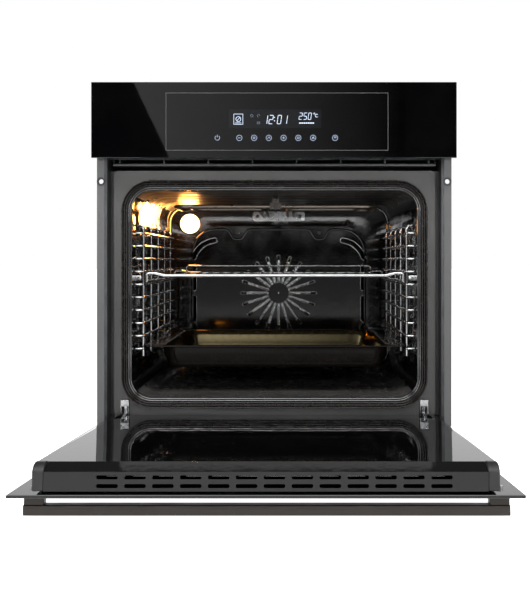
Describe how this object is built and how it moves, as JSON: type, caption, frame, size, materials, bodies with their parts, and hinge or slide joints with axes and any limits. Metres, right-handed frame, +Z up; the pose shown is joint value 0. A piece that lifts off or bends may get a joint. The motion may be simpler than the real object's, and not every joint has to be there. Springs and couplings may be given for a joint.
{
  "type": "built-in wall oven",
  "caption": "Built-in single wall oven with a drop-down glass door, touch control panel, wire shelf, deep tray and fan-assisted cavity",
  "frame": {"origin": "underside of the base, midway across and midway between the cabinet-front plane and the rear panel", "axes": "+Z up, the front and the open door towards -Y, +X to the right as seen from the front"},
  "size_m": [0.595, 0.9881, 0.595],
  "materials": {
    "black_glass": "back-printed toughened glass, polished",
    "clear_glass": "clear toughened glass",
    "lamp_glow": "lit capsule lamp",
    "galvanised_steel": "galvanised and dark coated sheet steel",
    "frame_enamel": "satin dark enamel",
    "cavity_enamel": "glossy black vitreous enamel",
    "gasket_rubber": "dark silicone rubber",
    "mineral_wool": "mineral wool",
    "circuit_board": "green lacquered laminate",
    "wheel_aluminium": "pressed aluminium",
    "motor_steel": "zinc plated laminations",
    "black_plastic": "moulded black plastic",
    "chrome_wire": "chrome plated wire",
    "heater_tube": "oxidised sheath",
    "zinc_steel": "zinc plated pressed steel",
    "spring_steel": "oiled spring wire",
    "socket_ceramic": "unglazed steatite",
    "door_metal": "satin dark paint",
    "cap_plastic": "fine spark texture",
    "handle_metal": "dark satin anodised"
  },
  "bodies": {
    "oven_body": {"air_outlet_duct": "galvanised_steel", "base_plate": "galvanised_steel", "blower_housing": "galvanised_steel", "blower_motor": "motor_steel", "bottom_element": "heater_tube", "cavity_back_wall": "cavity_enamel", "cavity_shell": "cavity_enamel", "chassis_screws": "zinc_steel", "component_deck": "galvanised_steel", "control_panel_carrier": "galvanised_steel", "control_panel_glass": "black_glass", "display_board": "circuit_board", "door_gasket": "gasket_rubber", "element_clip": "zinc_steel", "element_flange": "zinc_steel", "fan_cover": "cavity_enamel", "fan_cover_screws": "zinc_steel", "fan_motor": "motor_steel", "front_frame": "frame_enamel", "grill_element": "heater_tube", "hinge_arm_left": "zinc_steel", "hinge_arm_right": "zinc_steel", "hinge_pins": "zinc_steel", "hinge_receivers": "galvanised_steel", "insulation_blanket": "mineral_wool", "lamp_bulb": "lamp_glow", "lamp_lens": "clear_glass", "lamp_socket": "socket_ceramic", "mount_bushings": "black_plastic", "power_board": "circuit_board", "rack_left": "chrome_wire", "rack_nuts": "chrome_wire", "rack_right": "chrome_wire", "rear_panel": "galvanised_steel", "ring_element": "heater_tube", "side_panel_left": "galvanised_steel", "side_panel_right": "galvanised_steel", "temperature_probe": "zinc_steel", "terminal_block": "black_plastic", "terminal_cover": "black_plastic", "top_panel": "galvanised_steel"},
    "door": {"door_outer_glass": "black_glass", "door_middle_glass": "clear_glass", "door_inner_glass": "black_glass", "door_top_trim": "door_metal", "door_end_caps": "cap_plastic", "door_bottom_trim": "door_metal", "door_side_profile_left": "door_metal", "door_side_profile_right": "door_metal", "handle_bar": "handle_metal", "handle_posts": "handle_metal", "handle_screws": "zinc_steel", "hinge_channels": "zinc_steel", "hinge_springs": "spring_steel"},
    "wire_shelf": {"wire_shelf": "chrome_wire"},
    "baking_tray": {"baking_tray": "cavity_enamel"},
    "hinge_lock_left": {"hinge_lock_left": "zinc_steel"},
    "hinge_lock_right": {"hinge_lock_right": "zinc_steel"},
    "convection_fan": {"convection_fan": "wheel_aluminium"},
    "blower_wheel": {"blower_wheel": "wheel_aluminium"}
  },
  "joints": [
    {"name": "door_hinge", "type": "hinge", "parent": "oven_body", "child": "door", "pos_m": [0, -0.2705, 0.0335], "axis": [-1, 0, 0], "range_deg": [0, 87]},
    {"name": "wire_shelf_slide", "type": "slide", "parent": "oven_body", "child": "wire_shelf", "axis": [0, 1, 0], "range_m": [-0.35, 0]},
    {"name": "baking_tray_slide", "type": "slide", "parent": "oven_body", "child": "baking_tray", "axis": [0, 1, 0], "range_m": [-0.35, 0]},
    {"name": "hinge_lock_left_flip", "type": "hinge", "parent": "oven_body", "child": "hinge_lock_left", "pos_m": [-0.251, -0.2405, 0.06], "axis": [-1, 0, 0], "range_deg": [-50, 0]},
    {"name": "hinge_lock_right_flip", "type": "hinge", "parent": "oven_body", "child": "hinge_lock_right", "pos_m": [0.251, -0.2405, 0.06], "axis": [-1, 0, 0], "range_deg": [-50, 0]},
    {"name": "convection_fan_spin", "type": "hinge", "parent": "oven_body", "child": "convection_fan", "pos_m": [0, 0.1655, 0.235], "axis": [0, 1, 0], "continuous": true},
    {"name": "cooling_blower_spin", "type": "hinge", "parent": "oven_body", "child": "blower_wheel", "pos_m": [0, -0.0525, 0.5215], "axis": [1, 0, 0], "continuous": true}
  ]
}
